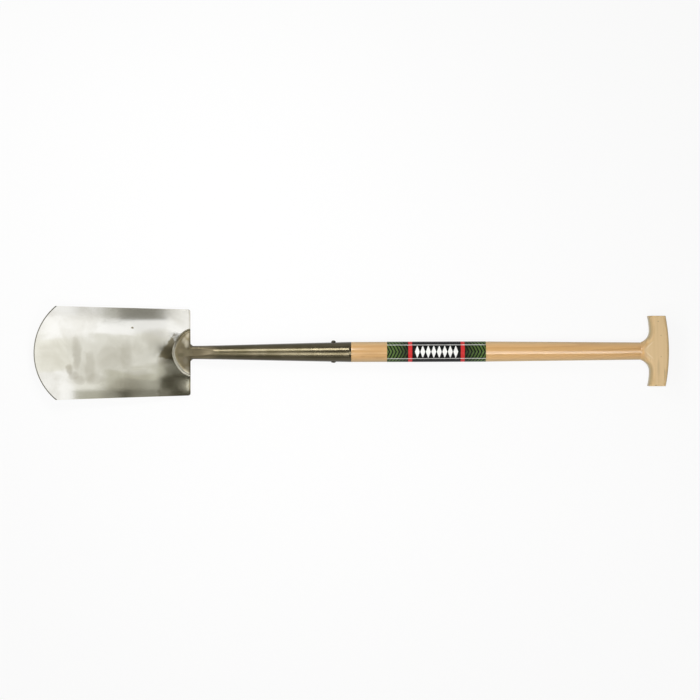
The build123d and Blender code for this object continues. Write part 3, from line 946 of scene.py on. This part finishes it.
def neck_on_foot(sizes, x, y, height):
    """Height of the neck where it runs out on the foot, in the blade's frame."""
    lift = sizes.blade_lift
    place = shoulder_x(sizes) + x * math.cos(lift) + height * math.sin(lift)
    top, _, width, corner = neck_shape(sizes, place)
    over = abs(y) - (width / 2 - corner)
    if over > 0:
        reach = min(over, corner * math.sin(math.atan(NECK_FLANK)))
        top = top - corner + math.sqrt(corner**2 - reach**2) - (over - reach) * NECK_FLANK
    top = (top + (x - sizes.tang_length) * math.sin(lift)) / math.cos(lift)
    run_out = ease((x + sizes.neck_reach + NECK_END_LEAD) / NECK_END_RUN)
    return top - (1 - run_out) * NECK_END_DROP


def foot_top(sizes, x, y):
    """Height of the foot, with the neck flowing into it, in the blade's frame."""
    inside = inside_foot(sizes, x, y)
    height = foot_crown(sizes, x, y) - sizes.foot_hollow * ease((inside - HOLLOW_START) / HOLLOW_RUN)
    if inside < sizes.foot_lip:
        lack = sizes.foot_lip - max(inside, 0.0)
        height -= sizes.foot_lip - math.sqrt(sizes.foot_lip**2 - lack**2)
    return smooth_top(height, neck_on_foot(sizes, x, y, height), sizes.neck_blend)


def foot_rim(sizes, degrees):
    """A point on the foot's outline: 0 degrees is the toe, 90 the shoulder."""
    turn = math.radians(degrees)
    x = -sizes.foot_reach * abs(math.cos(turn))**(2 / FOOT_POWER)
    y = sizes.foot_half_width * math.copysign(abs(math.sin(turn))**(2 / FOOT_POWER), turn)
    return x, y


def foot_skin(sizes):
    """Points and faces of the foot: a crowned top over a base that is let into the blade."""
    to_world = blade_frame(sizes)
    stations = 64
    across = 84
    points = []
    for layer in range(2):
        for i in range(stations + 1):
            x, half = foot_rim(sizes, FOOT_TOE_GAP + (90.0 - FOOT_TOE_GAP) * i / stations)
            for j in range(across + 1):
                y = -half * math.cos(math.pi * j / across)
                z = foot_top(sizes, x, y) if layer == 0 else blade_front(sizes, x, y) - FOOT_SINK
                points.append(to_world @ Vector((x, y, z)))
    row = across + 1
    base = (stations + 1) * row
    faces = grid_faces(stations, across, 0, True) + grid_faces(stations, across, base)
    rim = [i * row for i in range(stations + 1)] + [stations * row + j for j in range(1, row)]
    rim += [i * row + across for i in range(stations - 1, -1, -1)] + [j for j in range(across - 1, 0, -1)]
    for k, a in enumerate(rim):
        b = rim[(k + 1) % len(rim)]
        faces.append((a, base + a, base + b, b))
    return points, faces


def round_section(x, diameter):
    """Points of the socket's round section at x."""
    return section_loop(x, AXIS_HEIGHT + diameter / 2, AXIS_HEIGHT - diameter / 2, diameter, diameter / 2)


def build_socket(sizes, material):
    """Forged socket: crowned foot, cranked neck, tapered tube and bore."""
    neck_steps = 40
    tube_steps = 60
    shoulder = shoulder_x(sizes)
    throat = shoulder + sizes.neck_length
    widening = sizes.mouth_diameter - sizes.throat_diameter
    loops = []
    for k in range(neck_steps + 1):
        x = shoulder - NECK_LAP + (sizes.neck_length + NECK_LAP) * k / neck_steps
        top, bottom, width, corner = neck_shape(sizes, x)
        crown = foot_crown(sizes, x - shoulder, 0.0) - sizes.foot_hollow
        crown -= (x - shoulder - sizes.tang_length) * math.sin(sizes.blade_lift)
        loops.append(section_loop(x, smooth_top(top, crown, sizes.neck_blend), bottom, width, corner))
    for k in range(1, tube_steps + 1):
        x = throat + (MOUTH_X - MOUTH_CHAMFER[0] - throat) * k / tube_steps
        loops.append(round_section(x, sizes.throat_diameter + widening * (x - throat) / (MOUTH_X - throat)))
    loops.append(round_section(MOUTH_X, sizes.mouth_diameter - 2 * MOUTH_CHAMFER[1]))
    loops.append(round_section(MOUTH_X, sizes.bore_mouth))
    loops.append(round_section(MOUTH_X - sizes.bore_depth, sizes.bore_end))
    points, faces = foot_skin(sizes)
    tube_points, tube_faces = rings(loops)
    first = len(points)
    points += tube_points
    faces += [tuple(first + n for n in face) for face in tube_faces]
    return new_piece("forged_socket", points, faces, material, "socket", 40.0)


def build_weld(sizes, material):
    """Rippled weld bead along the foot's outline on the blade's front."""
    to_world = blade_frame(sizes)
    steps = 260
    around = 14
    fade_steps = 14
    end = 90.0 - WELD_END_GAP
    loops = []
    for k in range(steps + 1):
        degrees = -end + 2 * end * k / steps
        x, y = foot_rim(sizes, degrees)
        before = Vector((*foot_rim(sizes, degrees - 0.5), 0))
        along = (Vector((*foot_rim(sizes, degrees + 0.5), 0)) - before).normalized()
        out = Vector((along.y, -along.x, 0))
        centre = Vector((x, y, blade_front(sizes, x, y)))
        ripple = 0.86 + 0.1 * abs(math.sin(k * 0.75)) + 0.06 * noise.noise(Vector((k * 0.21, 3.1, 0.7)))
        fade = min(1.0, 0.35 + min(k, steps - k) / fade_steps)
        radius = sizes.weld_radius * ripple * fade
        ring = []
        for m in range(around):
            a = 2 * math.pi * m / around
            rise = Vector((0, 0, radius * math.sin(a)))
            ring.append(to_world @ (centre + out * (radius * math.cos(a)) + rise))
        loops.append(ring)
    points, faces = rings(loops)
    return new_piece("weld_bead", points, faces, material, "socket_weld")


def rivet_dome(seat, top, diameter):
    """Places and radii of a rivet's end, from its seat to its top."""
    steps = 9
    for k in range(steps + 1):
        a = math.pi / 2 * k / steps
        yield seat + (top - seat) * math.sin(a), diameter / 2 * max(math.cos(a)**0.72, 0.02)


def build_rivet(sizes, material):
    """Rivet through socket and shaft with hammered ends."""
    low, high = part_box("socket_rivet")
    x = MOUTH_X - sizes.rivet_from_mouth
    seat = sizes.rivet_seat
    sides = 40
    dent_depth = 0.00012
    dent_pitch = 620.0
    profile = list(reversed(list(rivet_dome(-seat, low.y, sizes.rivet_tail))))
    profile += [(-seat, sizes.rivet_shank / 2), (seat, sizes.rivet_shank / 2)]
    profile += rivet_dome(seat, high.y, sizes.rivet_head)
    loops = []
    for y, radius in profile:
        ring = []
        for k in range(sides):
            a = 2 * math.pi * k / sides
            spot = Vector((radius * math.cos(a), y, radius * math.sin(a)))
            dent = abs(dent_depth * noise.noise(spot * dent_pitch))
            pull = 1.0 - dent / (sizes.rivet_head / 2)
            ring.append(Vector((x + spot.x * pull, y - math.copysign(dent, y), AXIS_HEIGHT + spot.z * pull)))
        loops.append(ring)
    points, faces = rings(loops)
    return new_piece("hammered_rivet", points, faces, material, "socket_rivet")


def turned_loop(x, radius, count):
    """A ring of points round the shaft's line."""
    ring = []
    for k in range(count):
        a = 2 * math.pi * k / count
        ring.append(Vector((x, radius * math.cos(a), AXIS_HEIGHT + radius * math.sin(a))))
    return ring


def taper(first, last, steps):
    """Places and radii in even steps from the first to the last."""
    for k in range(steps + 1):
        t = k / steps
        yield first[0] + (last[0] - first[0]) * t, first[1] + (last[1] - first[1]) * t


def build_shaft(sizes, material):
    """Turned shaft: tapered end in the socket, bare length, taper to the grip and tenon."""
    low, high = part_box("shaft")
    collar = MOUTH_X + sizes.shaft_bare
    straight = MOUTH_X + sizes.shaft_straight
    end = high.x - sizes.tenon_sink
    tip = sizes.shaft_end_tip / 2
    full = sizes.shaft_diameter / 2
    tenon = sizes.tenon_diameter / 2
    sides = 112
    tip_hollow = 0.0002
    tip_rim = 0.001
    chamfer = 0.0003
    tenon_chamfer = 0.0004
    stations = [(low.x + tip_hollow, tip - tip_rim)]
    stations += taper((low.x, tip), (MOUTH_X, sizes.shaft_end_mouth / 2), 12)
    stations += [(MOUTH_X, full - chamfer)]
    stations += taper((MOUTH_X + chamfer, full), (straight + chamfer, full), 30)
    stations += list(taper((straight + chamfer, full), (collar, sizes.shaft_grip_diameter / 2), 40))[1:]
    stations += [(collar, tenon), (end - tenon_chamfer, tenon), (end, tenon - tenon_chamfer)]
    points, faces = rings([turned_loop(x, radius, sides) for x, radius in stations])
    return new_piece("turned_shaft", points, faces, material, "shaft", 40.0)


def build_label(sizes, material):
    """Thin film rolled once round the shaft, its end lapped over its start."""
    low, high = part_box("label_wrap")
    inner = sizes.shaft_diameter / 2 + sizes.label_gap
    outer = inner + sizes.label_thickness
    lap = sizes.label_lap / outer
    ramp = 0.05
    steps = 150
    stations = 24
    total = 2 * math.pi + lap
    line = []
    for k in range(steps + 1):
        turn = total * k / steps
        over = min(1.0, max(0.0, (turn - (2 * math.pi - ramp)) / ramp))
        line.append((sizes.label_lap_angle + turn, inner + sizes.label_thickness * over))
    crown = [(a, r + sizes.label_thickness) for a, r in line]
    outline = crown + list(reversed(line))
    loops = []
    for k in range(stations + 1):
        x = low.x + (high.x - low.x) * k / stations
        ring = [Vector((x, r * math.cos(a), AXIS_HEIGHT + r * math.sin(a))) for a, r in outline]
        loops.append(ring)
    points, faces = rings(loops, capped=False)
    count = len(outline)
    for row, flip in ((0, True), (stations, False)):
        for k in range(steps):
            quad = (k, k + 1, count - 2 - k, count - 1 - k)
            quad = tuple(row * count + n for n in quad)
            faces.append(tuple(reversed(quad)) if flip else quad)
    return new_piece("printed_label", points, faces, material, "label_wrap", 60.0)


# Stage

def softbox(name, centre, size, radiance, aim, blue=1.0):
    """A soft light of a given brightness, hidden from the camera."""
    data = bpy.data.lights.new(name, "AREA")
    data.color = (1.0, 0.9 + blue * 0.1, blue)
    data.shape = "RECTANGLE"
    data.size = size[0]
    data.size_y = size[1]
    data.energy = radiance * math.pi * size[0] * size[1]
    light = bpy.data.objects.new(name, data)
    bpy.context.scene.collection.objects.link(light)
    back = (Vector(centre) - Vector(aim)).normalized()
    side = Vector((1.0, 0.0, 0.0))
    side = (side - back * side.dot(back)).normalized()
    turn = Matrix((side, back.cross(side), back)).transposed().to_4x4()
    light.matrix_world = Matrix.Translation(centre) @ turn
    light.visible_camera = False
    return light


def floor_finish(colours):
    """Pale floor that stays white to the eye and keeps the shadow."""
    s = new_finish("studio_floor")
    place = s.place()
    grain = s.clouds(place, 3.0, 2.0)
    tone = s.blend(grain * 0.04, colours.floor, (1.0, 1.0, 1.0))
    sockets = {"Base Color": tone, "Roughness": 1.0, "Specular IOR Level": 0.0}
    matt = s.add("ShaderNodeBsdfPrincipled", {}, sockets)
    glow = s.add("ShaderNodeEmission", {}, {"Color": (1.0, 1.0, 1.0), "Strength": 1.0})
    rays = s.outputs(s.add("ShaderNodeLightPath", {}, {}))
    seen = rays["Is Camera Ray"].top(rays["Is Glossy Ray"]).top(rays["Is Transmission Ray"])
    mixed = s.add("ShaderNodeMixShader", {}, {"Fac": seen * 0.9, "Shader": matt, "Shader_001": glow})
    s.add("ShaderNodeOutputMaterial", {}, {"Surface": mixed})
    return s.owner


def build_floor(scene, colours):
    """Floor just under the spade."""
    points = []
    for j in range(FLOOR_CELLS + 1):
        for i in range(FLOOR_CELLS + 1):
            x, y = (FLOOR_SPAN * (n / FLOOR_CELLS - 0.5) for n in (i, j))
            points.append((x, y, FLOOR_HEIGHT))
    mesh = bpy.data.meshes.new("studio_floor")
    mesh.from_pydata(points, [], grid_faces(FLOOR_CELLS, FLOOR_CELLS))
    mesh.materials.append(floor_finish(colours))
    floor = bpy.data.objects.new("studio_floor", mesh)
    scene.collection.objects.link(floor)


def build_world(scene):
    """Studio round the spade: white at the horizon, dim overhead."""
    scene.world = bpy.data.worlds.new("studio")
    s = Shading(scene.world)
    height = s.axes(s.add("ShaderNodeTexCoord", {}, {}, 0))[2]
    walls = s.blend(s.step(height, 0.08, 0.42), (1.0, 1.0, 1.0), (0.42, 0.42, 0.40))
    sky = s.blend(s.step(height, 0.45, 0.86), walls, (0.085, 0.080, 0.058))
    glow = s.add("ShaderNodeBackground", {}, {"Color": sky, "Strength": 1.0})
    s.add("ShaderNodeOutputWorld", {}, {"Surface": glow})


def build_lights():
    """Panels that the blade reflects, and the other soft lights."""
    for name, x0, x1, y0, y1, radiance, blue in PANELS:
        centre = ((x0 + x1) / 2, (y0 + y1) / 2)
        softbox(name, (*centre, PANEL_HEIGHT), (x1 - x0, y1 - y0), radiance, (*centre, 0.0), blue)
    for light in LIGHTS:
        softbox(*light)


def build_camera(scene):
    """Camera that looks straight down as in the picture."""
    data = bpy.data.cameras.new("camera")
    data.lens = CAMERA_LENS
    data.sensor_width = CAMERA_SENSOR
    data.clip_start = 0.1
    data.clip_end = 100.0
    data.dof.use_dof = False
    camera = bpy.data.objects.new("camera", data)
    scene.collection.objects.link(camera)
    camera.location = (*VIEW_MIDDLE, AXIS_HEIGHT + VIEW_WIDTH * CAMERA_LENS / CAMERA_SENSOR)
    camera.rotation_euler = (0.0, 0.0, math.radians(VIEW_TURN))
    scene.camera = camera
    scene.view_settings.view_transform = "Standard"


# Operators, one for each piece or group

def settings(context):
    """The sizes and colours that the sidebar shows."""
    return context.scene.spade_sizes, context.scene.spade_colours


class SPADE_OT_blade(bpy.types.Operator):
    """Build the dished blade with its ground edge"""

    bl_idname = "spade.blade"
    bl_label = "Blade"
    bl_options = {"REGISTER", "UNDO"}

    def execute(self, context):
        sizes, colours = settings(context)
        build_blade(sizes, blade_finish(sizes, colours))
        return {"FINISHED"}


class SPADE_OT_socket(bpy.types.Operator):
    """Build the forged socket with its weld bead and rivet"""

    bl_idname = "spade.socket"
    bl_label = "Socket, weld and rivet"
    bl_options = {"REGISTER", "UNDO"}

    def execute(self, context):
        sizes, colours = settings(context)
        build_socket(sizes, socket_finish(sizes, colours))
        build_weld(sizes, weld_finish(colours))
        build_rivet(sizes, rivet_finish(colours))
        return {"FINISHED"}


class SPADE_OT_shaft(bpy.types.Operator):
    """Build the turned shaft"""

    bl_idname = "spade.shaft"
    bl_label = "Shaft"
    bl_options = {"REGISTER", "UNDO"}

    def execute(self, context):
        sizes, colours = settings(context)
        # The shaft's tint is painted shade: it dims the wood from the socket's mouth, fading out along the
        # shaft
        tint_zone = (MOUTH_X + 0.03, MOUTH_X + 0.30, (0.82, 0.82, 0.82), None)
        tones = (colours.ash, colours.ash_dark)
        build_shaft(sizes, wood_finish("shaft_wood", *tones, "x", 0.66, 0.4, SHAFT_MARKS, tint_zone))
        return {"FINISHED"}


class SPADE_OT_grip(bpy.types.Operator):
    """Finish the T-grip and the wedge in its crown"""

    bl_idname = "spade.grip"
    bl_label = "Grip and wedge"
    bl_options = {"REGISTER", "UNDO"}

    def execute(self, context):
        sizes, colours = settings(context)
        collar = MOUTH_X + sizes.shaft_bare
        tint_zone = (collar + 0.004, collar + 0.016, (0.90, 0.76, 0.60), collar + 0.0040)
        tones = (colours.ash_grip, colours.ash_grip_dark)
        dress("grip", wood_finish("grip_wood", *tones, "y", 0.14, 0.16, GRIP_MARKS, tint_zone))
        dress("grip_wedge", wedge_finish(colours))
        return {"FINISHED"}


class SPADE_OT_label(bpy.types.Operator):
    """Build the printed film round the shaft"""

    bl_idname = "spade.label"
    bl_label = "Label"
    bl_options = {"REGISTER", "UNDO"}

    def execute(self, context):
        sizes, colours = settings(context)
        low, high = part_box("label_wrap")
        build_label(sizes, label_finish(colours, low, high))
        return {"FINISHED"}


class SPADE_OT_stage(bpy.types.Operator):
    """Set up the floor, the lights and the camera"""

    bl_idname = "spade.stage"
    bl_label = "Stage"
    bl_options = {"REGISTER", "UNDO"}

    def execute(self, context):
        build_floor(context.scene, context.scene.spade_colours)
        build_world(context.scene)
        build_lights()
        build_camera(context.scene)
        return {"FINISHED"}


class SPADE_PT_panel(bpy.types.Panel):
    """Sidebar panel that lists the operators and the settings"""

    bl_idname = "SPADE_PT_panel"
    bl_label = "Garden spade"
    bl_space_type = "VIEW_3D"
    bl_region_type = "UI"
    bl_category = "Spade"

    def draw(self, context):
        for operator in OPERATORS:
            self.layout.operator(operator.bl_idname)
        for group in (context.scene.spade_sizes, context.scene.spade_colours):
            column = self.layout.column()
            for name in type(group).__annotations__:
                column.prop(group, name)


OPERATORS = (SPADE_OT_blade, SPADE_OT_socket, SPADE_OT_shaft, SPADE_OT_grip, SPADE_OT_label, SPADE_OT_stage)
CLASSES = (SpadeSizes, SpadeColours, *OPERATORS, SPADE_PT_panel)


def register():
    """Make the classes and the scene's settings known to Blender."""
    for item in CLASSES:
        bpy.utils.register_class(item)
    bpy.types.Scene.spade_sizes = PointerProperty(type=SpadeSizes)
    bpy.types.Scene.spade_colours = PointerProperty(type=SpadeColours)


def unregister():
    """Take the settings and the classes away again."""
    del bpy.types.Scene.spade_colours
    del bpy.types.Scene.spade_sizes
    for item in reversed(CLASSES):
        bpy.utils.unregister_class(item)


def main():
    """Register the add-on and build everything in order."""
    register()
    for operator in OPERATORS:
        group, name = operator.bl_idname.split(".")
        result = getattr(getattr(bpy.ops, group), name)()
        if result != {"FINISHED"}:
            raise RuntimeError(f"{operator.bl_label} didn't finish")


if __name__ == "__main__":
    main()
